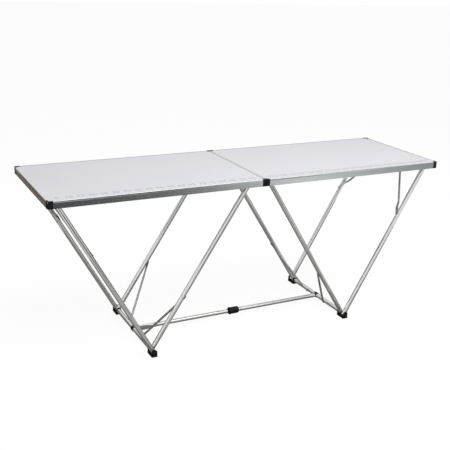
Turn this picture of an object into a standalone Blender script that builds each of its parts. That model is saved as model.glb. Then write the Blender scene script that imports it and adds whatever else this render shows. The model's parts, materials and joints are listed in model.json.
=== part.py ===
import math

import bmesh
import bpy
from mathutils import Matrix, Vector

# Driving dimensions, in metres. +X runs along the table, the front edge is at -Y, the floor is z = 0.
tableLength = 2.0
tableWidth = 0.6
tableHeight = 0.803
railHeight = 0.032
gap = 0.0003          # between pieces that touch
centreGap = 0.001     # between the two halves of the top
overrun = 0.002       # how far a cutter passes the wall it cuts
mergeDistance = 0.00001

# Rails and board
railWall = 0.0015
railLip = 0.006       # lip over the board's edge
railLedge = 0.009     # ledge under the board and flange at the foot of the rail
boardThick = 0.005
grooveDepth = 0.0005
grooveHeight = 0.0012
grooveShares = (0.3, 0.72)

# Corner caps
outerCapLeg = 0.025
centreCapLeg = 0.018
capProud = 0.0005
outerCapRound = 0.009
centreCapRound = 0.0015
outerTongue = 0.03
centreTongue = 0.013

# Leg tubes
tubeRadius = 0.011
tubeWall = 0.0013
braceRadius = 0.005
outerPivotInset = 0.042  # from the end of the top to the outer frame's top bar
innerPivotX = 0.045
pivotDrop = 0.020     # from the top surface to the axes of the upper pivots
footShare = 0.529     # place of the feet, of half the length
footAxisHeight = 0.0225
innerLegInset = 0.0655  # from the edge of the top to the inner legs' axes
legSideGap = 0.0015   # between an inner leg and the outer leg beside it
braceReach = 0.288    # along the leg, from the bar to the brace
outerBraceBarShare = 0.243  # place of the brace on its bar, of the legs' half distance
innerBraceBarShare = 0.354
legOverPivot = 0.006  # leg past its upper pivot
legOverFoot = 0.006   # leg past the foot's pin

# Shoes and pins
pinRadius = 0.003
shoeCheek = 0.0035
shoeRadius = 0.0145
shoeBaseTop = 0.0103
shoeHalfBase = 0.015
shoeSpigotLength = 0.022
pinHeadRadius = 0.006
pinHeadThick = 0.0025
pinHeadShare = 0.7    # flat top of the domed head
cheekTilt = 20        # degrees below the axis where the cheeks run straight down
baseSideShare = 0.25
baseTaperShare = 0.85
hookSlack = 0.0008    # of the outer leg's slot round the pin

# Upper brackets and clips
bracketThick = 0.0025
bracketHalf = 0.009
clipShare = 0.2       # place of the clips, of the table's width
clipHalfWidth = 0.0125
clipHalfLength = 0.0145
clipWall = 0.0018

# Stretcher
stretcherRadius = 0.0105
noseRadius = 0.006
noseRoot = 0.02
noseTipShare = 0.7    # flat tip of the nose, the rest is bevelled
noseBevelShare = 0.5
eyeRadius = 0.014
eyeHalfWidth = 0.011
sleeveStart = -0.013
sleeveEnd = 0.047
sleeveRadius = 0.0175
sleeveFlange = 0.012
sleeveFlangeHalf = 0.0188
sleeveEdgeShares = ((0.45, 0), (0.12, 0.4), (0, 1))  # inset and setback of the rounded end

# Centre hinges
hingeInset = 0.08     # from the edge of the top to the end of the hinge
hingeKnuckles = 9
hingeLeafThick = 0.0012
hingeLeafLength = 0.010
hingeBarrelRadius = 0.0035
hingePinRadius = 0.0015

# Facets
tubeSides = 24
smallSides = 16
smoothAngle = 30      # degrees, edges turning more stay sharp

# Derived heights and lengths
halfLength = tableLength / 2
halfWidth = tableWidth / 2
outerPivotX = halfLength - outerPivotInset
footX = halfLength * footShare
innerLegY = halfWidth - innerLegInset
outerLegY = innerLegY + 2 * tubeRadius + legSideGap
outerBarHalf = outerLegY + tubeRadius
clipY = tableWidth * clipShare
hingeWidth = tableWidth - 2 * hingeInset
railTop = tableHeight
railBottom = tableHeight - railHeight
boardTop = railTop - railWall - gap
boardBottom = boardTop - boardThick
ledgeTop = boardBottom - gap
pivotZ = tableHeight - pivotDrop
hingeLeafTop = railBottom - capProud - gap
hingeAxisZ = hingeLeafTop - hingeBarrelRadius


parts = bpy.data.collections.new("pasting_table")
guides = bpy.data.collections.new("cutters")


def clearScene():
    for item in list(bpy.data.objects):
        bpy.data.objects.remove(item)
    bpy.context.scene.collection.children.link(parts)
    bpy.context.scene.collection.children.link(guides)


def material(name, colour, roughness, metallic):
    made = bpy.data.materials.new(name)
    made.use_nodes = True
    shader = made.node_tree.nodes["Principled BSDF"]
    shader.inputs["Base Color"].default_value = (*colour, 1)
    shader.inputs["Roughness"].default_value = roughness
    shader.inputs["Metallic"].default_value = metallic
    return made


looks = {
    "board": material("coated_board", (0.70, 0.71, 0.75), 0.35, 0),
    "rail": material("brushed_aluminium", (0.45, 0.47, 0.48), 0.35, 1),
    "tube": material("polished_aluminium", (0.60, 0.61, 0.62), 0.22, 1),
    "plastic": material("black_plastic", (0.015, 0.015, 0.016), 0.45, 0),
    "steel": material("zinc_plated_steel", (0.50, 0.50, 0.52), 0.35, 1),
}


def place(item, name, look, parent=None):
    item.name = name
    item.data.name = name
    item.data.materials.clear()
    item.data.materials.append(looks[look])
    for home in list(item.users_collection):
        home.objects.unlink(item)
    parts.objects.link(item)
    if parent:
        item.parent = parent
        item.matrix_parent_inverse = parent.matrix_world.inverted()
    return item


def asGuide(item):
    for home in list(item.users_collection):
        home.objects.unlink(item)
    guides.objects.link(item)
    item.hide_render = True
    item.display_type = "WIRE"
    return item


def newObject(shape, name):
    mesh = bpy.data.meshes.new(name)
    shape.to_mesh(mesh)
    shape.free()
    mesh.shade_smooth()
    mesh.set_sharp_from_angle(angle=math.radians(smoothAngle))
    made = bpy.data.objects.new(name, mesh)
    parts.objects.link(made)
    return made


# Box between two corners
def block(low, high, name="block"):
    shape = bmesh.new()
    bmesh.ops.create_cube(shape, size=1)
    low, high = Vector(low), Vector(high)
    size = high - low
    bmesh.ops.scale(shape, vec=size, verts=shape.verts)
    bmesh.ops.translate(shape, vec=(low + high) / 2, verts=shape.verts)
    return newObject(shape, name)


# Solid cylinder between two points
def rod(start, end, radius, sides=tubeSides, name="rod"):
    start, end = Vector(start), Vector(end)
    shape = bmesh.new()
    bmesh.ops.create_cone(shape, cap_ends=True, segments=sides, radius1=radius, radius2=radius,
                          depth=(end - start).length)
    turn = (end - start).to_track_quat("Z", "Y").to_matrix().to_4x4()
    bmesh.ops.transform(shape, matrix=Matrix.Translation((start + end) / 2) @ turn, verts=shape.verts)
    return newObject(shape, name)


# Flat outline pushed both ways from its plane, as a mesh
def extruded(outline, matrix, length, name="extruded"):
    curve = bpy.data.curves.new(name, "CURVE")
    curve.dimensions = "2D"
    curve.fill_mode = "BOTH"
    curve.extrude = length / 2
    spline = curve.splines.new("POLY")
    spline.points.add(len(outline) - 1)
    for point, (x, y) in zip(spline.points, outline):
        point.co = (x, y, 0, 1)
    spline.use_cyclic_u = True
    drawn = bpy.data.objects.new(name, curve)
    parts.objects.link(drawn)
    bpy.context.view_layer.update()
    seen = drawn.evaluated_get(bpy.context.evaluated_depsgraph_get())
    mesh = bpy.data.meshes.new_from_object(seen)
    bpy.data.objects.remove(drawn)
    bpy.data.curves.remove(curve)
    shape = bmesh.new()
    shape.from_mesh(mesh)
    bmesh.ops.remove_doubles(shape, verts=shape.verts, dist=mergeDistance)
    bmesh.ops.recalc_face_normals(shape, faces=shape.faces)
    bmesh.ops.transform(shape, matrix=matrix, verts=shape.verts)
    bpy.data.meshes.remove(mesh)
    return newObject(shape, name)


# Matrix with the given local axes
def axes(origin, x, y, z):
    turn = Matrix((x, y, z)).transposed().to_4x4()
    return Matrix.Translation(origin) @ turn


# Profile of (radius, height) points spun round an axis
def turned(profile, start, direction, closed, sides=tubeSides, name="turned"):
    mesh = bpy.data.meshes.new(name)
    edges = [(i, i + 1) for i in range(len(profile) - 1)]
    if closed:
        edges.append((len(profile) - 1, 0))
    mesh.from_pydata([(radius, 0, height) for radius, height in profile], edges, [])
    made = bpy.data.objects.new(name, mesh)
    parts.objects.link(made)
    made.location = start
    made.rotation_mode = "QUATERNION"
    made.rotation_quaternion = Vector(direction).to_track_quat("Z", "Y")
    spin = made.modifiers.new("spin", "SCREW")
    spin.steps = sides
    spin.render_steps = sides
    spin.use_merge_vertices = True
    spin.merge_threshold = mergeDistance
    spin.use_smooth_shade = True
    bpy.context.view_layer.update()
    return made


# Hollow round tube, open at both ends
def tube(start, end, radius, wall, name="tube"):
    start, end = Vector(start), Vector(end)
    length = (end - start).length
    inner = radius - wall
    profile = [(radius, length), (radius, 0), (inner, 0), (inner, length)]
    return turned(profile, start, end - start, True, tubeSides, name)


def boolean(target, tool, operation):
    change = target.modifiers.new(operation.lower(), "BOOLEAN")
    change.operation = operation
    change.solver = "EXACT"
    change.object = asGuide(tool)
    return target


def cut(target, tool):
    return boolean(target, tool, "DIFFERENCE")


def join(target, tool):
    return boolean(target, tool, "UNION")


# Points on an arc, angles in degrees
def arc(centre, radius, first, last, steps):
    points = []
    for i in range(steps + 1):
        angle = math.radians(first + (last - first) * i / steps)
        points.append((centre[0] + radius * math.cos(angle), centre[1] + radius * math.sin(angle)))
    return points


def sideName(side):
    return "left" if side < 0 else "right"


# Empty on a joint's axis
def pivot(name, place_, parent=None):
    made = bpy.data.objects.new(name, None)
    parts.objects.link(made)
    made.location = place_
    made.empty_display_size = tubeRadius
    bpy.context.view_layer.update()
    if parent:
        made.parent = parent
        made.matrix_parent_inverse = parent.matrix_world.inverted()
        bpy.context.view_layer.update()
    return made


# Section of the rails: x runs inward from the outer face, y is the height.
def railSection():
    points = [(0, railBottom)]
    for share in grooveShares:
        low = railBottom + railHeight * share
        high = low + grooveHeight
        points += [(0, low), (grooveDepth, low), (grooveDepth, high), (0, high)]
    points += arc((railWall, railTop - railWall), railWall, 180, 90, 3)
    points += [(railLip, railTop), (railLip, railTop - railWall), (railWall, railTop - railWall)]
    points += [(railWall, ledgeTop), (railLedge, ledgeTop), (railLedge, ledgeTop - railWall)]
    points += [(railWall, ledgeTop - railWall), (railWall, railBottom + railWall)]
    points += [(railLedge, railBottom + railWall), (railLedge, railBottom)]
    return points


def makeRail(name, centre, inward, length, parent):
    up = Vector((0, 0, 1))
    inward = Vector(inward)
    matrix = axes(Vector(centre), inward, up, inward.cross(up))
    return place(extruded(railSection(), matrix, length, name), name, "rail", parent)


# Corner cap: an L over both rail ends, slotted for the board, with a tongue into each rail
def makeCap(corner, inX, inY, leg, rounding, tongue):
    inward = railLedge + capProud
    outline = [(leg, 0), (leg, inward), (inward, inward), (inward, leg), (0, leg)]
    outline += arc((rounding, rounding), rounding, 180, 270, 4)
    outline = [(corner[0] + inX * x, corner[1] + inY * y) for x, y in outline]
    middle = (railTop + railBottom) / 2
    matrix = Matrix.Translation((0, 0, middle))
    cap = extruded(outline, matrix, railHeight + 2 * capProud, "cap")
    wall = capProud + railWall
    near = (corner[0] + inX * wall, corner[1] + inY * wall)
    far = (corner[0] + inX * (leg + overrun), corner[1] + inY * (leg + overrun))
    low = (min(near[0], far[0]), min(near[1], far[1]), boardBottom - gap)
    high = (max(near[0], far[0]), max(near[1], far[1]), boardTop + gap)
    cut(cap, block(low, high, "board_slot"))
    z0 = railBottom + railWall + gap
    z1 = ledgeTop - railWall - gap
    inner = capProud + railWall + gap
    outer = capProud + railLedge
    reach = leg + tongue
    for along in (0, 1):
        a = (leg - overrun, inner) if along == 0 else (inner, leg - overrun)
        b = (reach, outer) if along == 0 else (outer, reach)
        xs = sorted((corner[0] + inX * a[0], corner[0] + inX * b[0]))
        ys = sorted((corner[1] + inY * a[1], corner[1] + inY * b[1]))
        join(cap, block((xs[0], ys[0], z0), (xs[1], ys[1], z1), "tongue"))
    return cap


# One half of the top
def makePanel(side, parent):
    name = sideName(side)
    outerX = side * halfLength
    centreX = side * centreGap / 2
    inset = capProud + railWall + gap
    xs = sorted((outerX - side * inset, centreX + side * inset))
    edgeY = halfWidth - inset
    board = block((xs[0], -edgeY, boardBottom), (xs[1], edgeY, boardTop))
    place(board, name + "_board", "board", parent)

    faceOuter = outerX - side * capProud
    faceCentre = centreX + side * capProud
    spanX = sorted((outerX - side * (outerCapLeg + gap), centreX + side * (centreCapLeg + gap)))
    middleX = (spanX[0] + spanX[1]) / 2
    for word, sign in (("front", -1), ("rear", 1)):
        centre = (middleX, sign * (halfWidth - capProud), 0)
        makeRail(f"{name}_{word}_rail", centre, (0, -sign, 0), spanX[1] - spanX[0], parent)
    spanY = 2 * (halfWidth - outerCapLeg - gap)
    makeRail(name + "_end_rail", (faceOuter, 0, 0), (-side, 0, 0), spanY, parent)
    spanY = 2 * (halfWidth - centreCapLeg - gap)
    makeRail(name + "_centre_rail", (faceCentre, 0, 0), (side, 0, 0), spanY, parent)

    for word, sign in (("front", -1), ("rear", 1)):
        cap = makeCap((outerX, sign * halfWidth), -side, -sign, outerCapLeg, outerCapRound, outerTongue)
        place(cap, f"{name}_{word}_outer_cap", "plastic", parent)
        cap = makeCap((centreX, sign * halfWidth), side, -sign, centreCapLeg, centreCapRound, centreTongue)
        place(cap, f"{name}_{word}_centre_cap", "plastic", parent)


# Clips under the board in which the outer frame's top bar turns
def makeBarClips(side, parent):
    for word, sign in (("front", -1), ("rear", 1)):
        x = side * outerPivotX
        y = sign * clipY
        low = (x - clipHalfLength, y - clipHalfWidth, pivotZ - tubeRadius - gap - clipWall)
        high = (x + clipHalfLength, y + clipHalfWidth, boardBottom - gap)
        clip = block(low, high)
        bore = rod((x, y - clipHalfWidth - overrun, pivotZ), (x, y + clipHalfWidth + overrun, pivotZ),
                   tubeRadius + gap, tubeSides)
        place(cut(clip, bore), f"{sideName(side)}_{word}_bar_clip", "plastic", parent)


# Angle brackets in the front and rear rails, each with the stud on which the inner frame turns
def makeInnerBrackets(side, parent):
    x = side * innerPivotX
    legFace = innerLegY + tubeRadius
    plateNear = legFace + 4 * gap
    plateFar = plateNear + bracketThick
    floor = railBottom + railWall + gap
    roof = boardBottom - bracketThick
    for word, sign in (("front", -1), ("rear", 1)):
        near, far = sorted((sign * plateNear, sign * plateFar))
        bracket = block((x - bracketHalf, near, floor), (x + bracketHalf, far, roof))
        wallY = halfWidth - capProud - railWall - gap
        near, far = sorted((sign * plateNear, sign * wallY))
        join(bracket, block((x - bracketHalf, near, floor), (x + bracketHalf, far, floor + bracketThick)))
        inside = innerLegY - tubeRadius - gap
        outside = plateFar - gap
        flatTop = pinHeadRadius * pinHeadShare
        profile = [(0, outside + pinHeadThick), (flatTop, outside + pinHeadThick)]
        profile += [(pinHeadRadius, outside), (pinRadius, outside), (pinRadius, inside)]
        profile += [(pinHeadRadius, inside), (flatTop, inside - pinHeadThick)]
        profile += [(0, inside - pinHeadThick)]
        join(bracket, turned(profile, (x, 0, pivotZ), (0, sign, 0), False, smallSides))
        place(bracket, f"{sideName(side)}_{word}_pivot_bracket", "steel", parent)


def lineDirection(start, end):
    return (Vector(end) - Vector(start)).normalized()


def makeOuterFrame(side, parent):
    name = sideName(side)
    top = Vector((side * outerPivotX, 0, pivotZ))
    foot = Vector((side * footX, 0, footAxisHeight))
    down = lineDirection(top, foot)
    hinge = pivot(name + "_outer_frame_axis", top, parent)
    across = Vector((0, 1, 0))
    bar = tube(top - across * outerBarHalf, top + across * outerBarHalf, tubeRadius, tubeWall)
    place(bar, name + "_outer_top_bar", "tube", hinge)

    def barCutter():
        return rod(top - across * halfWidth, top + across * halfWidth, tubeRadius + gap)

    for word, sign in (("front", -1), ("rear", 1)):
        shift = across * sign * outerLegY
        leg = tube(top + shift, foot + shift + down * legOverFoot, tubeRadius, tubeWall)
        cut(leg, barCutter())
        # the open hook that sits on the foot's pin
        half = pinRadius + hookSlack
        reach = side * (tubeRadius + legOverFoot + overrun)
        xs = sorted((foot.x, foot.x + reach))
        y = sign * outerLegY
        mouth = block((xs[0], y - tubeRadius - overrun, foot.z - half),
                      (xs[1], y + tubeRadius + overrun, foot.z + half))
        cut(leg, mouth)
        cut(leg, rod((foot.x, y - tubeRadius - overrun, foot.z), (foot.x, y + tubeRadius + overrun, foot.z),
                     half, smallSides))
        place(leg, f"{name}_outer_{word}_leg", "tube", hinge)
        legPoint = top + shift + down * braceReach
        barPoint = top + across * sign * outerLegY * outerBraceBarShare
        brace = tube(barPoint, legPoint, braceRadius, tubeWall)
        cut(brace, barCutter())
        cut(brace, rod(top + shift, foot + shift, tubeRadius + gap))
        place(brace, f"{name}_outer_{word}_brace", "tube", hinge)


# Foot shoe: two cheeks on a base, the pin between them and a spigot for the bottom bar
def makeShoe(side, sign):
    x = side * footX
    inner = innerLegY - tubeRadius - 2 * gap
    outer = outerLegY + tubeRadius + 2 * gap
    outline = arc((x, footAxisHeight), shoeRadius, -cheekTilt, 180 + cheekTilt, 12)
    sideHeight = shoeBaseTop * baseSideShare
    tapered = shoeHalfBase * baseTaperShare
    outline += [(x - shoeHalfBase, sideHeight), (x - tapered, 0)]
    outline += [(x + tapered, 0), (x + shoeHalfBase, sideHeight)]
    up = Vector((0, 0, 1))
    middle = sign * (inner + outer) / 2
    matrix = axes(Vector((0, middle, 0)), Vector((1, 0, 0)), up, Vector((0, -1, 0)))
    shoe = extruded(outline, matrix, outer - inner + 2 * shoeCheek, "shoe")
    low, high = sorted((sign * inner, sign * outer))
    cut(shoe, block((x - tableWidth, low, shoeBaseTop), (x + tableWidth, high, footAxisHeight * 2)))
    barEnd = inner - shoeCheek
    spigot = rod((x, sign * (barEnd + overrun / 2), footAxisHeight),
                 (x, sign * (barEnd - shoeSpigotLength), footAxisHeight), tubeRadius - tubeWall - gap)
    join(shoe, spigot)
    outside = outer + shoeCheek - gap
    profile = [(0, outside + pinHeadThick), (pinHeadRadius * pinHeadShare, outside + pinHeadThick)]
    profile += [(pinHeadRadius, outside), (pinRadius, outside), (pinRadius, barEnd), (0, barEnd)]
    join(shoe, turned(profile, (x, 0, footAxisHeight), (0, sign, 0), False, smallSides))
    return shoe


def makeInnerFrame(side, parent):
    name = sideName(side)
    top = Vector((side * innerPivotX, 0, pivotZ))
    foot = Vector((side * footX, 0, footAxisHeight))
    down = lineDirection(top, foot)
    hinge = pivot(name + "_inner_frame_axis", top, parent)
    across = Vector((0, 1, 0))
    barHalf = innerLegY - tubeRadius - 2 * gap - shoeCheek - gap
    bar = tube(foot - across * barHalf, foot + across * barHalf, tubeRadius, tubeWall)
    place(bar, name + "_bottom_bar", "tube", hinge)
    for word, sign in (("front", -1), ("rear", 1)):
        shift = across * sign * innerLegY
        leg = tube(top + shift - down * legOverPivot, foot + shift + down * legOverFoot, tubeRadius, tubeWall)
        cut(leg, rod(top, top + across * sign * halfWidth, pinRadius + gap, smallSides))
        cut(leg, rod(foot, foot + across * sign * halfWidth, pinRadius + gap, smallSides))
        place(leg, f"{name}_inner_{word}_leg", "tube", hinge)
        legPoint = foot + shift - down * braceReach
        barPoint = foot + across * sign * innerLegY * innerBraceBarShare
        brace = tube(barPoint, legPoint, braceRadius, tubeWall)
        cut(brace, rod(foot - across * halfWidth, foot + across * halfWidth, tubeRadius + gap))
        cut(brace, rod(top + shift, foot + shift, tubeRadius + gap))
        place(brace, f"{name}_inner_{word}_brace", "tube", hinge)
        place(makeShoe(side, sign), f"{name}_{word}_shoe", "plastic", hinge)
    return hinge


# Ring round the bottom bar with a spigot into the stretcher tube
def makeEye(side):
    x = side * footX
    eye = rod((x, -eyeHalfWidth, footAxisHeight), (x, eyeHalfWidth, footAxisHeight), eyeRadius)
    inward = -side
    tubeStart = eyeRadius + gap
    join(eye, rod((x + inward * tubeRadius, 0, footAxisHeight),
                  (x + inward * (tubeStart + shoeSpigotLength), 0, footAxisHeight),
                  stretcherRadius - tubeWall - gap))
    cut(eye, rod((x, -eyeHalfWidth - overrun, footAxisHeight), (x, eyeHalfWidth + overrun, footAxisHeight),
                 tubeRadius + gap))
    return eye


def makeStretcher(side, parent):
    name = sideName(side)
    foot = Vector((side * footX, 0, footAxisHeight))
    hinge = pivot(name + "_stretcher_axis", foot, parent)
    place(makeEye(side), name + "_stretcher_eye", "plastic", hinge)
    nearEnd = foot.x - side * (eyeRadius + gap)
    farEnd = -noseRoot if side < 0 else centreGap / 2
    strut = tube((nearEnd, 0, foot.z), (farEnd, 0, foot.z), stretcherRadius, tubeWall)
    place(strut, name + "_stretcher_tube", "tube", hinge)
    if side < 0:
        bore = stretcherRadius - tubeWall - gap
        collar = sleeveStart - gap
        tip = -centreGap
        profile = [(0, tip), (noseRadius * noseTipShare, tip)]
        profile += [(noseRadius, tip - noseRadius * noseBevelShare), (noseRadius, collar)]
        profile += [(stretcherRadius, collar), (stretcherRadius, farEnd + gap), (bore, farEnd + gap)]
        profile += [(bore, farEnd - shoeSpigotLength), (0, farEnd - shoeSpigotLength)]
        nose = turned(profile, (0, 0, foot.z), (1, 0, 0), False)
        place(nose, "stretcher_nose_plug", "plastic", hinge)
    return hinge


# Black sleeve that slides on the right tube and locks the joint
def makeSleeve(parent):
    hinge = pivot("sleeve_axis", (0, 0, footAxisHeight), parent)
    bore = stretcherRadius + gap
    rounding = sleeveRadius - bore
    profile = []
    for inset, back in sleeveEdgeShares:
        profile.append((sleeveRadius - rounding * inset, sleeveEnd - rounding * back))
    profile += [(sleeveRadius, sleeveStart + sleeveFlange)]
    profile += [(sleeveFlangeHalf, sleeveStart + sleeveFlange - gap), (sleeveFlangeHalf, sleeveStart)]
    profile += [(bore, sleeveStart), (bore, sleeveEnd)]
    sleeve = turned(profile, (0, 0, footAxisHeight), (1, 0, 0), True)
    place(sleeve, "locking_sleeve", "plastic", hinge)


# Leaf under the centre rail with its knuckles round the hinge axis
def makeHingeLeaf(side):
    half = hingeWidth / 2
    pitch = hingeWidth / hingeKnuckles
    start = hingeBarrelRadius + gap
    xs = sorted((side * start, side * (start + hingeLeafLength)))
    low = hingeLeafTop - hingeLeafThick
    leaf = block((xs[0], -half, low), (xs[1], half, hingeLeafTop))
    for i in range(0 if side < 0 else 1, hingeKnuckles, 2):
        first = -half + pitch * i + gap / 2
        last = first + pitch - gap
        join(leaf, rod((0, first, hingeAxisZ), (0, last, hingeAxisZ), hingeBarrelRadius, smallSides))
        xs = sorted((0, side * (start + overrun)))
        inset = gap / 3
        join(leaf, block((xs[0], first + inset, low + inset), (xs[1], last - inset, hingeLeafTop - inset)))
    cut(leaf, rod((0, -half - overrun, hingeAxisZ), (0, half + overrun, hingeAxisZ),
                  hingePinRadius + gap, smallSides))
    return leaf


def makeHinges(leftParent, rightParent):
    for side, parent in ((-1, leftParent), (1, rightParent)):
        place(makeHingeLeaf(side), sideName(side) + "_hinge_leaf", "steel", parent)
    half = hingeWidth / 2
    pin = rod((0, -half, hingeAxisZ), (0, half, hingeAxisZ), hingePinRadius, smallSides)
    place(pin, "hinge_pin", "steel", leftParent)


def main():
    clearScene()
    leftHalf = pivot("left_half", (0, 0, hingeAxisZ))
    rightHalf = pivot("right_half", (0, 0, hingeAxisZ))
    for side, half in ((-1, leftHalf), (1, rightHalf)):
        makePanel(side, half)
        makeBarClips(side, half)
        makeInnerBrackets(side, half)
        makeOuterFrame(side, half)
        frame = makeInnerFrame(side, half)
        stretcher = makeStretcher(side, frame)
        if side > 0:
            makeSleeve(stretcher)
    makeHinges(leftHalf, rightHalf)


main()
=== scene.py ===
import json
import math

import bmesh
import bpy
from mathutils import Matrix, Vector

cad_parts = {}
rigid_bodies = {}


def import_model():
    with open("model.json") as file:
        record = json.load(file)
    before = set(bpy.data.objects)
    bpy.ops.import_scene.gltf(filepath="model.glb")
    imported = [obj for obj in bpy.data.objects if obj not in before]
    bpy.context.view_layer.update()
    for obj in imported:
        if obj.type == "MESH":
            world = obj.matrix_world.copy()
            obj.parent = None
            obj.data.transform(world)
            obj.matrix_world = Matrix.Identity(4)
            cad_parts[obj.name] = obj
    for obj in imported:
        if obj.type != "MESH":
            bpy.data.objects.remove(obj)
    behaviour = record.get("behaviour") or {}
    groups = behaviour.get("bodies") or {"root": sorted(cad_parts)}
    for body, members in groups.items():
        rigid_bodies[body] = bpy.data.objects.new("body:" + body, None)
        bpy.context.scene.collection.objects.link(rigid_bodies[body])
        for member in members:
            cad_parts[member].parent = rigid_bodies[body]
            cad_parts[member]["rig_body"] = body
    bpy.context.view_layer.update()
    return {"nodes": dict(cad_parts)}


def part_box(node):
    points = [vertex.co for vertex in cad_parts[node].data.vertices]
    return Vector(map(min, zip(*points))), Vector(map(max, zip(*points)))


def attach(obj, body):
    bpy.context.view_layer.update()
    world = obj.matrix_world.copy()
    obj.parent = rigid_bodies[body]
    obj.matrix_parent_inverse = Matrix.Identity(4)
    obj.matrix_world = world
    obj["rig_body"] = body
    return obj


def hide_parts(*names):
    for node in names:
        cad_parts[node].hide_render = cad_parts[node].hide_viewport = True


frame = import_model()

scene = bpy.context.scene
scene.view_settings.view_transform = "Standard"
nodes = frame["nodes"]
print("frame loaded,", len(nodes), "solids")


def linearColour(hexCode):
    channels = [int(hexCode[i:i + 2], 16) / 255 for i in (1, 3, 5)]
    linear = [c / 12.92 if c <= 0.04045 else ((c + 0.055) / 1.055) ** 2.4 for c in channels]
    return (*linear, 1.0)


def addNode(tree, kind, settings=None, inputs=None):
    # inputs hold either a plain value or another node's output socket
    node = tree.nodes.new(kind)
    for key, value in (settings or {}).items():
        setattr(node, key, value)
    for key, value in (inputs or {}).items():
        if isinstance(value, bpy.types.NodeSocket):
            tree.links.new(value, node.inputs[key])
        else:
            node.inputs[key].default_value = value
    return node


def emptyTree(holder):
    holder.use_nodes = True
    holder.node_tree.nodes.clear()
    return holder.node_tree


def startMaterial(name):
    made = bpy.data.materials.new(name)
    tree = emptyTree(made)
    shader = addNode(tree, "ShaderNodeBsdfPrincipled")
    addNode(tree, "ShaderNodeOutputMaterial", inputs={"Surface": shader.outputs[0]})
    place = addNode(tree, "ShaderNodeTexCoord").outputs["Object"]
    return made, tree, shader, place


def perMetre(millimetres):
    # texture scale whose pattern repeats about once in that many millimetres
    return 1000 / millimetres


def linkShader(tree, shader, sockets):
    for name, socket in sockets.items():
        tree.links.new(socket, shader.inputs[name])


boardLook = {"colour": "#D7D7DD", "cloud": "#D1D1D8", "roughness": 0.34, "glossier": 0.05, "duller": 0.06,
             "filmMm": 1.6, "cloudMm": 260, "peelStrength": 0.06, "peelDepth": 0.0002, "ior": 1.5}


def coatedBoard():
    # white melamine film pressed on fibreboard: smooth, satin, with the faint orange peel of the film
    made, tree, shader, place = startMaterial("melamineCoatedBoard")
    cloud = addNode(tree, "ShaderNodeTexNoise", inputs={
        "Vector": place, "Scale": perMetre(boardLook["cloudMm"]), "Detail": 3.0})
    mix = addNode(tree, "ShaderNodeMix", {"data_type": "RGBA"}, {
        "Factor": cloud.outputs["Fac"], "A": linearColour(boardLook["colour"]),
        "B": linearColour(boardLook["cloud"])})
    peel = addNode(tree, "ShaderNodeTexNoise", inputs={
        "Vector": place, "Scale": perMetre(boardLook["filmMm"]), "Detail": 2.0})
    rub = addNode(tree, "ShaderNodeMapRange", inputs={
        "Value": cloud.outputs["Fac"], "To Min": boardLook["roughness"] - boardLook["glossier"],
        "To Max": boardLook["roughness"] + boardLook["duller"]})
    bump = addNode(tree, "ShaderNodeBump", inputs={
        "Height": peel.outputs["Fac"], "Strength": boardLook["peelStrength"],
        "Distance": boardLook["peelDepth"]})
    linkShader(tree, shader, {"Base Color": mix.outputs["Result"], "Roughness": rub.outputs["Result"],
                              "Normal": bump.outputs["Normal"]})
    shader.inputs["IOR"].default_value = boardLook["ior"]
    return made


drawnLook = {"handlingMm": 45, "lineDepth": 0.0001}


def drawnMetal(name, look, turn):
    # aluminium that was pushed or pulled through a die: fine lines run along the length. Real
    # ones lie about 0.1 mm apart, too fine to show, so these are drawn coarser
    made, tree, shader, place = startMaterial(name)
    turned = addNode(tree, "ShaderNodeMapping", inputs={"Vector": place, "Rotation": turn})
    scaled = addNode(tree, "ShaderNodeMapping", inputs={
        "Vector": turned.outputs[0],
        "Scale": (perMetre(look["lengthMm"]), perMetre(look["lineMm"]), perMetre(look["lineMm"]))})
    lines = addNode(tree, "ShaderNodeTexNoise", inputs={
        "Vector": scaled.outputs[0], "Scale": 1.0, "Detail": 4.0, "Roughness": 0.6})
    handling = addNode(tree, "ShaderNodeTexNoise", inputs={
        "Vector": place, "Scale": perMetre(drawnLook["handlingMm"]), "Detail": 4.0})
    mix = addNode(tree, "ShaderNodeMix", {"data_type": "RGBA"}, {
        "Factor": lines.outputs["Fac"], "A": linearColour(look["shade"]),
        "B": linearColour(look["colour"])})
    smear = addNode(tree, "ShaderNodeMath", {"operation": "MULTIPLY_ADD"}, {
        0: handling.outputs["Fac"], 1: look["spread"], 2: look["roughness"] - look["spread"]})
    streak = addNode(tree, "ShaderNodeMath", {"operation": "MULTIPLY_ADD"}, {
        0: lines.outputs["Fac"], 1: look["spread"], 2: smear.outputs[0]})
    bump = addNode(tree, "ShaderNodeBump", inputs={
        "Height": lines.outputs["Fac"], "Strength": look["depth"], "Distance": drawnLook["lineDepth"]})
    linkShader(tree, shader, {"Base Color": mix.outputs["Result"], "Roughness": streak.outputs[0],
                              "Normal": bump.outputs["Normal"]})
    shader.inputs["Metallic"].default_value = 1.0
    return made


railLook = {"colour": "#D4D7D7", "shade": "#CDD0D0", "roughness": 0.18, "lineMm": 0.9, "lengthMm": 900,
            "spread": 0.008, "depth": 0.003}
tubeLook = {"colour": "#DCDDDC", "shade": "#D0D1D0", "roughness": 0.14, "lineMm": 0.7, "lengthMm": 900,
            "spread": 0.015, "depth": 0.002}
strutLook = {"colour": "#B1B2B0", "shade": "#A3A4A2", "roughness": 0.33, "lineMm": 0.7, "lengthMm": 400,
             "spread": 0.03, "depth": 0.008}


def satinRail(name, turn):
    # satin anodised extrusion: grey with a soft sheen, and the die's lines along it
    return drawnMetal(name, railLook, turn)


def brightTube(name, turn):
    # bright drawn tube: near mirror round the section, faint drawing lines along it
    return drawnMetal(name, tubeLook, turn)


def dullStrut(name, turn):
    # thin drawn strut that was pickled after pressing: even light grey with hardly any mirror left
    return drawnMetal(name, strutLook, turn)


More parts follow.
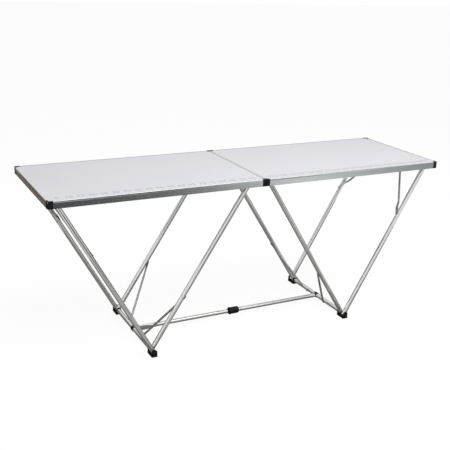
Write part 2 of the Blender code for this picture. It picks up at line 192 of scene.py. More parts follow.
plasticLook = {"colour": "#030303", "worn": "#0B0B0C", "roughness": 0.48, "glossier": 0.08, "spread": 0.16,
               "specular": 0.27, "ior": 1.49, "grainMm": 0.8, "grainStrength": 0.25, "grainDepth": 0.0002,
               "scuffMm": 14}


def mouldedPlastic():
    # black moulded polypropylene: fine spark grain from the mould and a soft sheen. Real grain
    # is about 0.2 mm, too fine to show, so it is drawn coarser
    made, tree, shader, place = startMaterial("mouldedBlackPlastic")
    grain = addNode(tree, "ShaderNodeTexNoise", inputs={
        "Vector": place, "Scale": perMetre(plasticLook["grainMm"]), "Detail": 3.0})
    scuff = addNode(tree, "ShaderNodeTexNoise", inputs={
        "Vector": place, "Scale": perMetre(plasticLook["scuffMm"]), "Detail": 5.0, "Roughness": 0.65})
    mix = addNode(tree, "ShaderNodeMix", {"data_type": "RGBA"}, {
        "Factor": scuff.outputs["Fac"], "A": linearColour(plasticLook["colour"]),
        "B": linearColour(plasticLook["worn"])})
    rough = addNode(tree, "ShaderNodeMath", {"operation": "MULTIPLY_ADD"}, {
        0: scuff.outputs["Fac"], 1: plasticLook["spread"],
        2: plasticLook["roughness"] - plasticLook["glossier"]})
    bump = addNode(tree, "ShaderNodeBump", inputs={
        "Height": grain.outputs["Fac"], "Strength": plasticLook["grainStrength"],
        "Distance": plasticLook["grainDepth"]})
    linkShader(tree, shader, {"Base Color": mix.outputs["Result"], "Roughness": rough.outputs[0],
                              "Normal": bump.outputs["Normal"]})
    shader.inputs["IOR"].default_value = plasticLook["ior"]
    shader.inputs["Specular IOR Level"].default_value = plasticLook["specular"]
    return made


zincLook = {"colour": "#B9BCC0", "spangle": "#A3A6A6", "roughness": 0.30, "glossier": 0.1, "spread": 0.2,
            "spangleMm": 5, "spangleShare": 0.5, "hazeMm": 8}


def zincSteel():
    # zinc plated steel: bright grey with slightly cloudy crystals
    made, tree, shader, place = startMaterial("zincPlatedSteel")
    crystal = addNode(tree, "ShaderNodeTexVoronoi", inputs={
        "Vector": place, "Scale": perMetre(zincLook["spangleMm"])})
    haze = addNode(tree, "ShaderNodeTexNoise", inputs={
        "Vector": place, "Scale": perMetre(zincLook["hazeMm"]), "Detail": 4.0})
    tone = addNode(tree, "ShaderNodeMath", {"operation": "MULTIPLY_ADD"}, {
        0: crystal.outputs["Distance"], 1: zincLook["spangleShare"], 2: haze.outputs["Fac"]})
    mix = addNode(tree, "ShaderNodeMix", {"data_type": "RGBA"}, {
        "Factor": tone.outputs[0], "A": linearColour(zincLook["colour"]),
        "B": linearColour(zincLook["spangle"])})
    rough = addNode(tree, "ShaderNodeMath", {"operation": "MULTIPLY_ADD"}, {
        0: haze.outputs["Fac"], 1: zincLook["spread"], 2: zincLook["roughness"] - zincLook["glossier"]})
    linkShader(tree, shader, {"Base Color": mix.outputs["Result"], "Roughness": rough.outputs[0]})
    shader.inputs["Metallic"].default_value = 1.0
    return made


inkLook = {"colour": "#979AA1", "faded": "#B4B6BD", "roughness": 0.5, "patchMm": 30}


def printedInk():
    # grey screen-printed ink on the film, a little worn through in patches
    made, tree, shader, place = startMaterial("screenPrintedInk")
    wear = addNode(tree, "ShaderNodeTexNoise", inputs={
        "Vector": place, "Scale": perMetre(inkLook["patchMm"]), "Detail": 5.0})
    mix = addNode(tree, "ShaderNodeMix", {"data_type": "RGBA"}, {
        "Factor": wear.outputs["Fac"], "A": linearColour(inkLook["colour"]),
        "B": linearColour(inkLook["faded"])})
    linkShader(tree, shader, {"Base Color": mix.outputs["Result"]})
    shader.inputs["Roughness"].default_value = inkLook["roughness"]
    return made


def middleOf(node):
    low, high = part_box(node)
    return (low + high) / 2


def radiusOf(node):
    low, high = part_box(node)
    return (high.z - low.z) / 2


def legDirection(side, kind):
    # from the bottom bar up to the frame's own upper pivot
    foot, bar = middleOf(side + "_bottom_bar"), middleOf(side + "_outer_top_bar")
    topX = bar.x if kind == "outer" else middleOf(side + "_front_pivot_bracket").x
    return Vector((topX - foot.x, 0, bar.z - foot.z)).normalized()


frameTurn = {}
for side in ("left", "right"):
    for kind in ("outer", "inner"):
        direction = legDirection(side, kind)
        frameTurn[side, kind] = (0, math.atan2(direction.z, direction.x), 0)

finishes = {
    "board": coatedBoard(),
    "plastic": mouldedPlastic(),
    "zinc": zincSteel(),
    "ink": printedInk(),
    "railAlongX": satinRail("satinAnodisedRailLong", (0, 0, 0)),
    "railAlongY": satinRail("satinAnodisedRailAcross", (0, 0, math.pi / 2)),
    "tubeAlongX": brightTube("brightDrawnTubeLong", (0, 0, 0)),
    "tubeAlongY": brightTube("brightDrawnTubeAcross", (0, 0, math.pi / 2)),
}
for key, turn in frameTurn.items():
    place = key[0].capitalize() + key[1].capitalize()
    finishes[key] = brightTube("brightDrawnTube" + place, turn)
    finishes[(*key, "strut")] = dullStrut("dullDrawnStrut" + place, turn)
print("finishes made,", len(finishes))


def giveMaterial(item, finish):
    item.data.materials.clear()
    item.data.materials.append(finishes[finish])


def pieceFromMesh(name, mesh, finish, body):
    item = bpy.data.objects.new(name, mesh)
    scene.collection.objects.link(item)
    giveMaterial(item, finish)
    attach(item, body)
    return item


meshLook = {"sameSpot": 1e-6, "sameCadSpot": 2e-6, "sharpAngle": 35, "flatAngle": 1.0, "edgeSegments": 2}


def pieceFromShape(name, shape, finish, body, sharpAngle=meshLook["sharpAngle"]):
    bmesh.ops.remove_doubles(shape, verts=shape.verts, dist=meshLook["sameSpot"])
    bmesh.ops.recalc_face_normals(shape, faces=shape.faces)
    mesh = bpy.data.meshes.new(name)
    shape.to_mesh(mesh)
    shape.free()
    mesh.shade_smooth()
    mesh.set_sharp_from_angle(angle=math.radians(sharpAngle))
    return pieceFromMesh(name, mesh, finish, body)


def evaluatedMesh(item):
    bpy.context.view_layer.update()
    seen = item.evaluated_get(bpy.context.evaluated_depsgraph_get())
    return bpy.data.meshes.new_from_object(seen)


def softenedCopy(node, finish, edge, calm=None):
    # the solid with its loose triangles merged and its hard edges broken by a small round
    shape = bmesh.new()
    shape.from_mesh(nodes[node].data)
    bmesh.ops.remove_doubles(shape, verts=shape.verts, dist=meshLook["sameCadSpot"])
    if calm:
        calm(shape)
    bmesh.ops.dissolve_limit(shape, angle_limit=math.radians(meshLook["flatAngle"]),
                             use_dissolve_boundaries=False, verts=shape.verts, edges=shape.edges)
    mesh = bpy.data.meshes.new(node + "_finished")
    shape.to_mesh(mesh)
    shape.free()
    mesh.shade_smooth()
    mesh.set_sharp_from_angle(angle=math.radians(meshLook["sharpAngle"]))
    item = bpy.data.objects.new(node + "_finished", mesh)
    scene.collection.objects.link(item)
    if edge:
        bevel = item.modifiers.new("brokenEdge", "BEVEL")
        bevel.width = edge
        bevel.segments = meshLook["edgeSegments"]
        bevel.limit_method = "ANGLE"
        bevel.angle_limit = math.radians(meshLook["sharpAngle"])
        bevel.harden_normals = True
        baked = evaluatedMesh(item)
        item.modifiers.clear()
        item.data = baked
        baked.name = node + "_finished"
    giveMaterial(item, finish)
    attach(item, nodes[node]["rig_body"])
    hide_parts(node)
    return item


grooveLook = {"depth": 0.0005, "slack": 0.00005, "kept": 0.06}


def calmGrooves(axis, face):
    # the grooves in the rail's face are only just felt: their floor comes up towards the face
    def change(shape):
        for vert in shape.verts:
            depth = abs(vert.co[axis] - face)
            if abs(depth - grooveLook["depth"]) < grooveLook["slack"]:
                vert.co[axis] = face + (vert.co[axis] - face) * grooveLook["kept"]
    return change


edges = {"rail": 0.00025, "cap": 0.0006, "shoe": 0.0006, "bracket": 0.0003}

for side in ("left", "right"):
    giveMaterial(nodes[side + "_board"], "board")
    for word in ("front", "rear"):
        node = f"{side}_{word}_rail"
        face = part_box(node)[0 if word == "front" else 1].y
        softenedCopy(node, "railAlongX", edges["rail"], calm=calmGrooves(1, face))
    for word in ("end", "centre"):
        softenedCopy(f"{side}_{word}_rail", "railAlongY", edges["rail"])
    for word in ("front_outer", "rear_outer", "front_centre", "rear_centre"):
        softenedCopy(f"{side}_{word}_cap", "plastic", edges["cap"])
print("top finished")


scaleLook = {"pitch": 0.01, "longEvery": 5, "shortTick": 0.010, "longTick": 0.020, "tickWidth": 0.0012,
             "inkThick": 0.00006, "frontLine": 0.0085, "digitHeight": 0.026, "digitGap": 0.006,
             "digitShare": 0.7, "digitSteps": 3, "endMargin": 0.03, "marksPerHalf": 100}


def tickTree():
    tree = bpy.data.node_groups.new("scaleTicks", "GeometryNodeTree")
    tree.interface.new_socket("Geometry", in_out="OUTPUT", socket_type="NodeSocketGeometry")
    for name, kind in (("Count", "NodeSocketInt"), ("Long Every", "NodeSocketInt"),
                       ("First Number", "NodeSocketInt"), ("Start", "NodeSocketVector"),
                       ("Pitch", "NodeSocketFloat"), ("Short Tick", "NodeSocketFloat"),
                       ("Long Tick", "NodeSocketFloat"), ("Tick Width", "NodeSocketFloat"),
                       ("Ink Thickness", "NodeSocketFloat"), ("Ink", "NodeSocketMaterial")):
        tree.interface.new_socket(name, in_out="INPUT", socket_type=kind)
    given = addNode(tree, "NodeGroupInput").outputs
    step = addNode(tree, "ShaderNodeCombineXYZ", inputs={"X": given["Pitch"]})
    row = addNode(tree, "GeometryNodeMeshLine", {"mode": "OFFSET"}, {
        "Count": given["Count"], "Start Location": given["Start"], "Offset": step.outputs[0]})
    index = addNode(tree, "GeometryNodeInputIndex")
    number = addNode(tree, "ShaderNodeMath", {"operation": "ADD"}, {
        0: index.outputs[0], 1: given["First Number"]})
    rest = addNode(tree, "ShaderNodeMath", {"operation": "FLOORED_MODULO"}, {
        0: number.outputs[0], 1: given["Long Every"]})
    isLong = addNode(tree, "FunctionNodeCompare", {"operation": "LESS_THAN"}, {
        "A": rest.outputs[0], "B": 0.5})
    length = addNode(tree, "GeometryNodeSwitch", {"input_type": "FLOAT"}, {
        "Switch": isLong.outputs[0], "False": given["Short Tick"], "True": given["Long Tick"]})
    halfLength = addNode(tree, "ShaderNodeMath", {"operation": "MULTIPLY"}, {0: length.outputs[0], 1: 0.5})
    inward = addNode(tree, "ShaderNodeCombineXYZ", inputs={"Y": halfLength.outputs[0]})
    moved = addNode(tree, "GeometryNodeSetPosition", inputs={
        "Geometry": row.outputs["Mesh"], "Offset": inward.outputs[0]})
    unit = addNode(tree, "GeometryNodeMeshCube", inputs={"Size": (1, 1, 1)})
    size = addNode(tree, "ShaderNodeCombineXYZ", inputs={
        "X": given["Tick Width"], "Y": length.outputs[0], "Z": given["Ink Thickness"]})
    placed = addNode(tree, "GeometryNodeInstanceOnPoints", inputs={
        "Points": moved.outputs[0], "Instance": unit.outputs["Mesh"], "Scale": size.outputs[0]})
    real = addNode(tree, "GeometryNodeRealizeInstances", inputs={"Geometry": placed.outputs[0]})
    inked = addNode(tree, "GeometryNodeSetMaterial", inputs={
        "Geometry": real.outputs[0], "Material": given["Ink"]})
    addNode(tree, "NodeGroupOutput", inputs={"Geometry": inked.outputs[0]})
    return tree


def runTree(tree, name, values, base=None):
    # an object with the tree on it, its inputs set by identifier, turned into a plain mesh
    item = bpy.data.objects.new(name, base or bpy.data.meshes.new(name))
    scene.collection.objects.link(item)
    change = item.modifiers.new(name, "NODES")
    change.node_group = tree
    wanted = {entry.name: entry.identifier for entry in tree.interface.items_tree
              if entry.item_type == "SOCKET" and entry.in_out == "INPUT"}
    for key, value in values.items():
        change[wanted[key]] = value
    mesh = evaluatedMesh(item)
    mesh.name = name
    bpy.data.objects.remove(item)
    return mesh


def numberShape(text, height, thick, at):
    letters = bpy.data.curves.new("scaleNumber", "FONT")
    letters.body = text
    letters.size = height / scaleLook["digitShare"]  # a digit stands that share of the font's size
    letters.align_x = "CENTER"
    letters.extrude = thick / 2
    letters.resolution_u = scaleLook["digitSteps"]
    item = bpy.data.objects.new("scaleNumber", letters)
    scene.collection.objects.link(item)
    mesh = evaluatedMesh(item)
    bpy.data.objects.remove(item)
    mesh.transform(Matrix.Translation(at))
    return mesh


ticks = tickTree()
emptyMarks = math.ceil(scaleLook["endMargin"] / scaleLook["pitch"])
every = scaleLook["longEvery"]
for side, zero, first in (("left", -1.0, 0), ("right", 0.0, scaleLook["marksPerHalf"])):
    start = first + emptyMarks
    last = first + scaleLook["marksPerHalf"] - emptyMarks
    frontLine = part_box(side + "_front_rail")[0].y + scaleLook["frontLine"]
    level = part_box(side + "_board")[1].z + scaleLook["inkThick"] / 2
    mesh = runTree(ticks, side + "_scale", {
        "Count": last - start + 1, "Long Every": every, "First Number": start,
        "Start": (zero + (start - first) * scaleLook["pitch"], frontLine, level),
        "Pitch": scaleLook["pitch"], "Short Tick": scaleLook["shortTick"],
        "Long Tick": scaleLook["longTick"], "Tick Width": scaleLook["tickWidth"],
        "Ink Thickness": scaleLook["inkThick"], "Ink": finishes["ink"]})
    shape = bmesh.new()
    shape.from_mesh(mesh)
    for number in range(start + (-start) % every, last + 1, every):
        at = Vector((zero + (number - first) * scaleLook["pitch"],
                     frontLine + scaleLook["longTick"] + scaleLook["digitGap"], level))
        digits = numberShape(str(number), scaleLook["digitHeight"], scaleLook["inkThick"], at)
        shape.from_mesh(digits)
    pieceFromShape(side + "_printed_scale", shape, "ink", side + "_half")
print("scale printed")


for side in ("left", "right"):
    for word in ("front", "rear"):
        softenedCopy(f"{side}_outer_{word}_leg", (side, "outer"), 0)
        softenedCopy(f"{side}_inner_{word}_leg", (side, "inner"), 0)
        softenedCopy(f"{side}_{word}_shoe", "plastic", edges["shoe"])
        softenedCopy(f"{side}_{word}_bar_clip", "plastic", edges["cap"])
        softenedCopy(f"{side}_{word}_pivot_bracket", "zinc", edges["bracket"])
    softenedCopy(side + "_outer_top_bar", "tubeAlongY", 0)
    softenedCopy(side + "_bottom_bar", "tubeAlongY", 0)
    softenedCopy(side + "_hinge_leaf", "zinc", 0)
giveMaterial(nodes["hinge_pin"], "zinc")
softenedCopy("stretcher_nose_plug", "plastic", 0)
print("leg frames finished")


braceLook = {"radius": 0.0052, "pressedThick": 0.0022, "tip": 0.007, "pressedOnLeg": 0.034,
             "pressedOnBar": 0.020, "flareOnLeg": 0.042, "flareOnBar": 0.030, "ring": 24, "steps": 6,
             "gap": 0.0002, "reach": 0.288, "outerShare": 0.243, "innerShare": 0.354,
             "outerSeat": 0.0009, "outerRivetSeat": 0.0007, "tipWidth": 0.3}
rivetLook = {"radius": 0.0042, "rise": 0.0011, "segments": 20, "rings": 8}


def lathe(profile, origin, direction, steps):
    shape = bmesh.new()
    turn = Vector(direction).to_track_quat("Z", "Y")
    rings = []
    for i in range(steps):
        angle = 2 * math.pi * i / steps
        ring = []
        for radius, height in profile:
            local = Vector((radius * math.cos(angle), radius * math.sin(angle), height))
            ring.append(shape.verts.new(Vector(origin) + turn @ local))
        rings.append(ring)
    for i in range(steps):
        a, b = rings[i], rings[(i + 1) % steps]
        for j in range(len(profile)):
            k = (j + 1) % len(profile)
            shape.faces.new((a[j], a[k], b[k], b[j]))
    return shape


def eased(first, last, share):
    # slow at both ends, from the first value at share 0 to the last at 1
    return first + (last - first) * (share * share * (3 - 2 * share))


skinLook = {"roundAbove": 0.9, "roundPower": 2, "squarer": 2}


def tubeSkin(rows, start, along, across, normal, radius, ring):
    # rows hold distance, half width, half thickness, shift along the normal, shift across
    shape = bmesh.new()
    rings = []
    for distance, halfWide, halfThick, lift, sag in rows:
        centre = start + along * distance + normal * lift + across * sag
        power = skinLook["roundPower"]
        if halfThick <= radius * skinLook["roundAbove"]:  # squarer where it is pressed flat
            power += skinLook["squarer"] * (1 - halfThick / radius)
        points = []
        for i in range(ring):
            angle = 2 * math.pi * i / ring
            cosine, sine = math.cos(angle), math.sin(angle)
            x = math.copysign(abs(cosine) ** (2 / power), cosine) * halfWide
            y = math.copysign(abs(sine) ** (2 / power), sine) * halfThick
            points.append(shape.verts.new(centre + across * x + normal * y))
        rings.append(points)
    for a, b in zip(rings, rings[1:]):
        for i in range(ring):
            j = (i + 1) % ring
            shape.faces.new((a[i], a[j], b[j], b[i]))
    shape.faces.new(rings[0][::-1])
    shape.faces.new(rings[-1])
    return shape


def pressedTube(start, end, normal, look, offsets):
    # a brace whose ends are pressed flat, rounded at the tip, and lifted to lie on the tubes
    along = end - start
    length = along.length
    along.normalize()
    across = normal.cross(along).normalized()
    radius, thin = look["radius"], look["pressedThick"] / 2
    wide = (math.pi * radius - 2 * thin) / 2 + thin
    tip = look["tip"]
    steps = look["steps"]
    first, second = [], []
    for step in range(steps + 1):
        angle = math.radians(90 * step / steps)
        cosine, sine = math.cos(angle), math.sin(angle)
        halfWide = max(wide * sine, thin * look["tipWidth"])
        first.append((-tip * cosine, halfWide, thin, offsets[0], 0))
        second.append((length + tip * cosine, halfWide, thin, offsets[0], 0))
    for step in range(steps + 1):
        share = step / steps
        section = (eased(wide, radius, share), eased(thin, radius, share), eased(*offsets, share), 0)
        first.append((look["pressedOnBar"] + look["flareOnBar"] * share, *section))
        second.append((length - look["pressedOnLeg"] - look["flareOnLeg"] * share, *section))
    return tubeSkin(first + second[::-1], start, along, across, normal, radius, look["ring"])


def rivetTree():
    tree = bpy.data.node_groups.new("domedRivets", "GeometryNodeTree")
    tree.interface.new_socket("Geometry", in_out="OUTPUT", socket_type="NodeSocketGeometry")
    for name, kind in (("Points", "NodeSocketGeometry"), ("Head Radius", "NodeSocketFloat"),
                       ("Head Rise", "NodeSocketFloat"), ("Segments", "NodeSocketInt"),
                       ("Rings", "NodeSocketInt"), ("Metal", "NodeSocketMaterial")):
        tree.interface.new_socket(name, in_out="INPUT", socket_type=kind)
    given = addNode(tree, "NodeGroupInput").outputs
    axis = addNode(tree, "GeometryNodeInputNamedAttribute", {"data_type": "FLOAT_VECTOR"}, {
        "Name": "axis"})
    ball = addNode(tree, "GeometryNodeMeshUVSphere", inputs={
        "Segments": given["Segments"], "Rings": given["Rings"], "Radius": 1.0})
    size = addNode(tree, "ShaderNodeCombineXYZ", inputs={
        "X": given["Head Radius"], "Y": given["Head Radius"], "Z": given["Head Rise"]})
    turn = addNode(tree, "FunctionNodeAlignRotationToVector", {"axis": "Z"}, {
        "Vector": axis.outputs[0]})
    placed = addNode(tree, "GeometryNodeInstanceOnPoints", inputs={
        "Points": given["Points"], "Instance": ball.outputs["Mesh"], "Rotation": turn.outputs[0],
        "Scale": size.outputs[0]})
    real = addNode(tree, "GeometryNodeRealizeInstances", inputs={"Geometry": placed.outputs[0]})
    smooth = addNode(tree, "GeometryNodeSetShadeSmooth", inputs={"Geometry": real.outputs[0]})
    metal = addNode(tree, "GeometryNodeSetMaterial", inputs={
        "Geometry": smooth.outputs[0], "Material": given["Metal"]})
    addNode(tree, "NodeGroupOutput", inputs={"Geometry": metal.outputs[0]})
    return tree


rivets = rivetTree()


def rivetRow(name, points, axes, body):
    base = bpy.data.meshes.new(name)
    base.from_pydata([tuple(p) for p in points], [], [])
    held = base.attributes.new("axis", "FLOAT_VECTOR", "POINT")
    for item, axis in zip(held.data, axes):
        item.vector = axis
    mesh = runTree(rivets, name, {
        "Head Radius": rivetLook["radius"], "Head Rise": rivetLook["rise"],
        "Segments": rivetLook["segments"], "Rings": rivetLook["rings"], "Metal": finishes["zinc"]}, base)
    return pieceFromMesh(name, mesh, "zinc", body)


for side in ("left", "right"):
    away = -1 if side == "left" else 1
    for kind in ("outer", "inner"):
        up = legDirection(side, kind)
        # braces sit on the tubes' face that looks towards the middle of the table
        normal = Vector((up.z, 0, -up.x)) * -away
        barNode = side + ("_outer_top_bar" if kind == "outer" else "_bottom_bar")
        bar = middleOf(barNode)
        points, axes = [], []
        for word, sign in (("front", -1), ("rear", 1)):
            node = f"{side}_{kind}_{word}_brace"
            legY = middleOf(f"{side}_{kind}_{word}_leg").y
            barY = abs(legY) * braceLook[kind + "Share"] * sign
            toLeg = up * (-1 if kind == "outer" else 1)
            start = Vector((bar.x, barY, bar.z))
            end = Vector((bar.x, legY, bar.z)) + toLeg * braceLook["reach"]
            rest = radiusOf(barNode) + braceLook["pressedThick"] / 2 + braceLook["gap"]
            top = rest + braceLook["pressedThick"] / 2
            if kind == "outer":  # seated in the tube, so that it clears the board when it is folded
                rest -= braceLook["outerSeat"]
                top -= braceLook["outerSeat"] + braceLook["outerRivetSeat"]
            offsets = (rest, 0.0) if kind == "outer" else (rest, rest)
            shape = pressedTube(start, end, normal, braceLook, offsets)
            item = pieceFromShape(node + "_pressed", shape, (side, kind, "strut"),
                                  f"{side}_{kind}_frame")
            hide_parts(node)
            points += [start + normal * top, end + normal * top]
            axes += [normal, normal]
        rivetRow(f"{side}_{kind}_brace_rivets", points, axes, f"{side}_{kind}_frame")
print("braces pressed and riveted")


# the left tube is pressed flat where it meets the bar, the right one stays nearly round
stretcherLook = {"halfHigh": 0.0146, "halfThick": 0.0042, "sag": 0.0032, "flat": 0.048, "flare": 0.075,
                 "press": {"left": 1.0, "right": 0.15}, "ring": 40, "flareSteps": 12, "endBevel": 0.0008,
                 "mouthTall": 0.95, "mouthThick": 0.92, "rivetAt": 0.040}
eyeLook = {"radius": 0.0138, "half": 0.0108, "round": 0.0015, "slack": 0.0003, "roundSteps": 4,
           "segments": 48, "sharpAngle": 40}


def eyeProfile(bore):
    roundness, half, steps = eyeLook["round"], eyeLook["half"], eyeLook["roundSteps"]
    inner = eyeLook["radius"] - roundness
    profile = [(bore, -half), (inner, -half)]
    for step in range(1, steps + 1):
        angle = math.radians(90 * step / steps)
        profile.append((inner + roundness * math.sin(angle), -half + roundness - roundness * math.cos(angle)))
    for step in range(steps + 1):
        angle = math.radians(90 * step / steps)
        profile.append((inner + roundness * math.cos(angle), half - roundness + roundness * math.sin(angle)))
    return profile + [(bore, half)]


for side, inward in (("left", 1), ("right", -1)):
    node, barNode, look = side + "_stretcher_tube", side + "_bottom_bar", stretcherLook
    low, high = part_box(node)
    radius = radiusOf(node)
    axisZ = (high.z + low.z) / 2
    barX = middleOf(barNode).x
    nearEnd, farEnd = (low.x, high.x) if side == "left" else (high.x, low.x)
    begin = abs(nearEnd - barX)
    press = look["press"][side]
    tall, thick = eased(radius, look["halfHigh"], press), eased(radius, look["halfThick"], press)
    sag = look["sag"] * press
    rows = [(begin, tall * look["mouthTall"], thick * look["mouthThick"], 0, -sag),
            (begin + look["endBevel"], tall, thick, 0, -sag)]
    for step in range(look["flareSteps"] + 1):
        share = step / look["flareSteps"]
        rows.append((look["flat"] + look["flare"] * share, eased(tall, radius, share),
                     eased(thick, radius, share), 0, -sag * (1 - eased(0, 1, share))))
    rows.append((abs(farEnd - barX), radius, radius, 0, 0))
    shape = tubeSkin(rows, Vector((barX, 0, axisZ)), Vector((inward, 0, 0)), Vector((0, 0, 1)),
                     Vector((0, 1, 0)), radius, look["ring"])
    tube = pieceFromShape(side + "_stretcher_pressed", shape, "tubeAlongX", side + "_stretcher")
    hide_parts(node)
    profile = eyeProfile(radiusOf(barNode) + eyeLook["slack"])
    shape = lathe(profile, (barX, 0, axisZ), (0, 1, 0), eyeLook["segments"])
    eye = pieceFromShape(side + "_stretcher_eye_moulded", shape, "plastic", side + "_stretcher",
                         eyeLook["sharpAngle"])
    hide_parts(side + "_stretcher_eye")
    rivetX = barX + inward * look["rivetAt"]
    at = [Vector((rivetX, sign * thick, axisZ - sag)) for sign in (-1, 1)]
    rivetRow(side + "_stretcher_rivets", at, [Vector((0, -1, 0)), Vector((0, 1, 0))], side + "_stretcher")
print("stretcher pressed and riveted")

# shorter at both ends than the solid, as in the photo; its left end has a flange to pull on
sleeveLook = {"shorter": 0.003, "bore": 0.0003, "rim": 0.0015, "rimSteps": 4, "flange": 0.0105,
              "flangeRise": 0.001, "slopeFrom": -0.0012, "slopeTo": -0.0003, "slopeDrop": 0.0004,
              "waist": 0.0006, "waistFrom": 0.0006, "waistTo": 0.003, "taper": 0.0002, "fullAt": 0.55,
              "nose": 0.0075, "noseWall": 0.0012, "noseSteps": 8, "segments": 64, "sharpAngle": 40}


def sleeveProfile(bore, outer, length):
    look = sleeveLook
    body, rim, flange, nose = outer - look["flangeRise"], look["rim"], look["flange"], look["nose"]
    profile = [(bore, 0), (bore + rim, 0)]
    for step in range(look["rimSteps"] + 1):
        angle = math.radians(90 * step / look["rimSteps"])
        profile.append((outer - rim + rim * math.sin(angle), rim - rim * math.cos(angle)))
    profile += [(outer, flange + look["slopeFrom"]), (outer - look["slopeDrop"], flange + look["slopeTo"]),
                (body - look["waist"], flange + look["waistFrom"]),
                (body - look["taper"], flange + look["waistTo"]),
                (body, length * look["fullAt"]), (body - look["taper"], length - nose)]
    inner = bore + look["noseWall"]
    for step in range(1, look["noseSteps"] + 1):
        angle = math.radians(90 * step / look["noseSteps"])
        profile.append((inner + (body - look["taper"] - inner) * math.cos(angle),
                        length - nose + nose * math.sin(angle)))
    return profile + [(bore, length)]


low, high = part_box("locking_sleeve")
profile = sleeveProfile(radiusOf("right_stretcher_tube") + sleeveLook["bore"], radiusOf("locking_sleeve"),
                        high.x - low.x - 2 * sleeveLook["shorter"])
shape = lathe(profile, (low.x + sleeveLook["shorter"], 0, (high.z + low.z) / 2), (1, 0, 0),
              sleeveLook["segments"])
sleeve = pieceFromShape("locking_sleeve_moulded", shape, "plastic", "sleeve",
                        sleeveLook["sharpAngle"])
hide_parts("locking_sleeve")
print("sleeve moulded")


studioLook = {"floorHex": "#EDEDEE", "floorGlow": 1.06, "glowShare": 0.86, "worldDiffuse": 0.52,
              "floorHalf": 30, "floorLevel": -0.0005}
# a lamp that is not mirrored leaves no glare on the board
lampLook = {
    "keySoftbox": {"at": (0.35, -1.3, 3.3), "target": (0.1, 0, 0.6), "size": (3.2, 1.6), "watts": 58,
                   "mirrored": True},
    "fillSoftbox": {"at": (3.2, -2.6, 2.0), "target": (0.2, 0, 0.5), "size": (2.0, 2.0), "watts": 33,
                    "mirrored": False},
}


def seenDirectly(tree):
    # 1 for what the camera, mirrors and glass see, 0 for the light that falls on things
    path = addNode(tree, "ShaderNodeLightPath").outputs
    seen = addNode(tree, "ShaderNodeMath", {"operation": "MAXIMUM"}, {
        0: path["Is Camera Ray"], 1: path["Is Glossy Ray"]})
    return addNode(tree, "ShaderNodeMath", {"operation": "MAXIMUM"}, {
        0: seen.outputs[0], 1: path["Is Transmission Ray"]}).outputs[0]


half, level = studioLook["floorHalf"], studioLook["floorLevel"]
floorMesh = bpy.data.meshes.new("studioFloor")
floorMesh.from_pydata([(-half, -half, level), (half, -half, level), (half, half, level),
                       (-half, half, level)], [], [(0, 1, 2, 3)])
floor = bpy.data.objects.new("studioFloor", floorMesh)
scene.collection.objects.link(floor)
floorMaterial = bpy.data.materials.new("paleStudioPaper")
floorMesh.materials.append(floorMaterial)
tree = emptyTree(floorMaterial)
share = addNode(tree, "ShaderNodeMath", {"operation": "MULTIPLY"}, {
    0: seenDirectly(tree), 1: studioLook["glowShare"]})
paper = addNode(tree, "ShaderNodeBsdfDiffuse", inputs={"Color": linearColour(studioLook["floorHex"])})
glow = addNode(tree, "ShaderNodeEmission", inputs={
    "Color": (1, 1, 1, 1), "Strength": studioLook["floorGlow"]})
mixed = addNode(tree, "ShaderNodeMixShader", inputs={
    0: share.outputs[0], 1: paper.outputs[0], 2: glow.outputs[0]})
addNode(tree, "ShaderNodeOutputMaterial", inputs={"Surface": mixed.outputs[0]})

world = bpy.data.worlds.new("softStudio")
scene.world = world
tree = emptyTree(world)
strength = addNode(tree, "ShaderNodeMapRange", inputs={
    "Value": seenDirectly(tree), "To Min": studioLook["worldDiffuse"], "To Max": 1.0})
back = addNode(tree, "ShaderNodeBackground", inputs={
    "Color": (1, 1, 1, 1), "Strength": strength.outputs["Result"]})
addNode(tree, "ShaderNodeOutputWorld", inputs={"Surface": back.outputs[0]})

for name, look in lampLook.items():
    lamp = bpy.data.lights.new(name, "AREA")
    lamp.shape = "RECTANGLE"
    lamp.size, lamp.size_y = look["size"]
    lamp.energy = look["watts"]
    item = bpy.data.objects.new(name, lamp)
    scene.collection.objects.link(item)
    item.location = look["at"]
    item.rotation_mode = "QUATERNION"
    item.rotation_quaternion = (Vector(look["target"]) - Vector(look["at"])).to_track_quat("-Z", "Y")
    item.visible_glossy = look["mirrored"]

# glowing cards that only reflections see, painted reflections: they stand for the darker studio round the
# table and paint the dark edges, the white highlight band and the left to right fade on bright metal. A card
# has its reach along x and y, and its tones along x from the first place of its fade to the second
cardLook = {
    "lying": {
        "frontCard": {"x": (-5.0, 5.0), "y": (-4.6, -1.6), "paper": "graduatedPaper", "fade": (-0.6, 3.4),
                      "tones": ((0.0, "#262624"), (1.0, "#8E9192"), (0.30, "#696A69"), (0.46, "#AEB0AF"),
                                (0.58, "#FFFFFF"), (0.76, "#BCC1C2"))},
        "nearCard": {"x": (-1.3, 1.7), "y": (-1.55, -0.42), "paper": "palePaintedReflection", "fade": (-0.8, 0.5),
                     "tones": ((0.0, "#C2C2B9"), (1.0, "#A6A6A0"))},
        "underCard": {"x": (-1.15, 1.7), "y": (0.02, 1.3), "paper": "greyPaintedReflection", "tones": "#8B8C87"},
        "middleCard": {"x": (-1.15, 1.7), "y": (-0.40, 0.01), "paper": "lightGreyPaintedReflection", "tones": "#83847F"},
        "endCard": {"x": (-5.0, -1.2), "y": (-0.2, 5.0), "paper": "brownPaintedReflection", "tones": "#6A5A50"},
    },
    "level": 0.001, "wall": "#4C4D4C", "wallRadius": 5.0, "wallHeight": 1.5, "wallSteps": 48,
    "wallStart": -20, "wallArc": 220}


# a glowing sheet of one tone, seen only in reflections: a painted reflection
def plainPaper(name, tone):
    made = bpy.data.materials.new(name)
    tree = emptyTree(made)
    glow = addNode(tree, "ShaderNodeEmission", inputs={"Color": linearColour(tone), "Strength": 1.0})
    addNode(tree, "ShaderNodeOutputMaterial", inputs={"Surface": glow.outputs[0]})
    return made
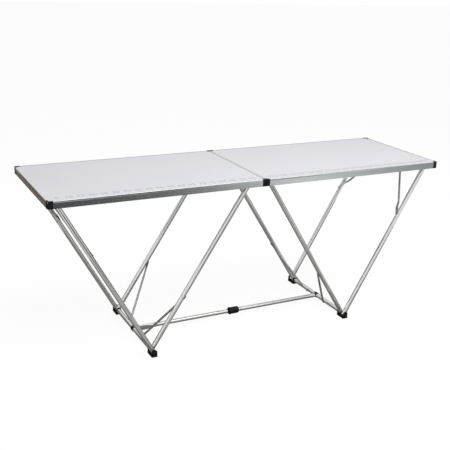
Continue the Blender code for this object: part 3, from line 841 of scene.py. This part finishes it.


# a glowing sheet whose tone runs along x, seen only in reflections: a painted reflection, dark to white and
# back to pale on the front card
def graduatedPaper(name, tones, fade):
    made = bpy.data.materials.new(name)
    tree = emptyTree(made)
    place = addNode(tree, "ShaderNodeTexCoord").outputs["Object"]
    parts = addNode(tree, "ShaderNodeSeparateXYZ", inputs={0: place})
    run = addNode(tree, "ShaderNodeMapRange", inputs={
        "Value": parts.outputs["X"], "From Min": fade[0], "From Max": fade[1]})
    ramp = addNode(tree, "ShaderNodeValToRGB", inputs={"Fac": run.outputs["Result"]})
    for i, (position, tone) in enumerate(tones):  # a new ramp has two stops already
        stops = ramp.color_ramp.elements
        stop = stops[i] if i < 2 else stops.new(position)
        stop.position = position
        stop.color = linearColour(tone)
    glow = addNode(tree, "ShaderNodeEmission", inputs={"Color": ramp.outputs["Color"], "Strength": 1.0})
    addNode(tree, "ShaderNodeOutputMaterial", inputs={"Surface": glow.outputs[0]})
    return made


def card(name, points, faces, material):
    mesh = bpy.data.meshes.new(name)
    mesh.from_pydata(points, [], faces)
    mesh.materials.append(material)
    item = bpy.data.objects.new(name, mesh)
    scene.collection.objects.link(item)
    # hidden from the camera, from diffuse light and from shadows: the card only paints reflections
    item.visible_camera = False
    item.visible_diffuse = False
    item.visible_shadow = False
    item.visible_transmission = False


for name, look in cardLook["lying"].items():
    (x0, x1), (y0, y1), level = look["x"], look["y"], cardLook["level"]
    if "fade" in look:
        paper = graduatedPaper(look["paper"], look["tones"], look["fade"])
    else:
        paper = plainPaper(look["paper"], look["tones"])
    card(name, [(x0, y0, level), (x1, y0, level), (x1, y1, level), (x0, y1, level)], [(0, 1, 2, 3)], paper)

wallPoints, wallFaces = [], []
for step in range(cardLook["wallSteps"] + 1):  # round the back, open towards the camera
    angle = math.radians(cardLook["wallStart"] + cardLook["wallArc"] * step / cardLook["wallSteps"])
    x, y = cardLook["wallRadius"] * math.cos(angle), cardLook["wallRadius"] * math.sin(angle)
    wallPoints += [(x, y, 0), (x, y, cardLook["wallHeight"])]
    if step:
        b = 2 * step
        wallFaces.append((b - 2, b, b + 1, b - 1))
card("wallCard", wallPoints, wallFaces, plainPaper("darkGreyPaintedReflection", cardLook["wall"]))

cameraLook = {"azimuth": -27.39, "elevation": 18.72, "roll": 2.06, "distance": 3.798,
              "target": (-0.049, 0.0, 0.496), "focalPixels": 767.5, "framePixels": 450, "sensorMm": 36}

azimuth, elevation, roll = (math.radians(cameraLook[key]) for key in ("azimuth", "elevation", "roll"))
backward = Vector((math.sin(azimuth) * math.cos(elevation), -math.cos(azimuth) * math.cos(elevation),
                   math.sin(elevation)))
sideways = Vector((0, 0, 1)).cross(backward).normalized()
upward = backward.cross(sideways)
xAxis = sideways * math.cos(roll) + upward * math.sin(roll)
yAxis = upward * math.cos(roll) - sideways * math.sin(roll)
cameraData = bpy.data.cameras.new("photoCamera")
cameraData.sensor_width = cameraLook["sensorMm"]
cameraData.lens = cameraLook["focalPixels"] / cameraLook["framePixels"] * cameraLook["sensorMm"]
camera = bpy.data.objects.new("photoCamera", cameraData)
scene.collection.objects.link(camera)
placeOfCamera = Vector(cameraLook["target"]) + backward * cameraLook["distance"]
turn = Matrix((xAxis, yAxis, backward)).transposed().to_4x4()
camera.matrix_world = Matrix.Translation(placeOfCamera) @ turn
scene.camera = camera
print("studio and camera ready")
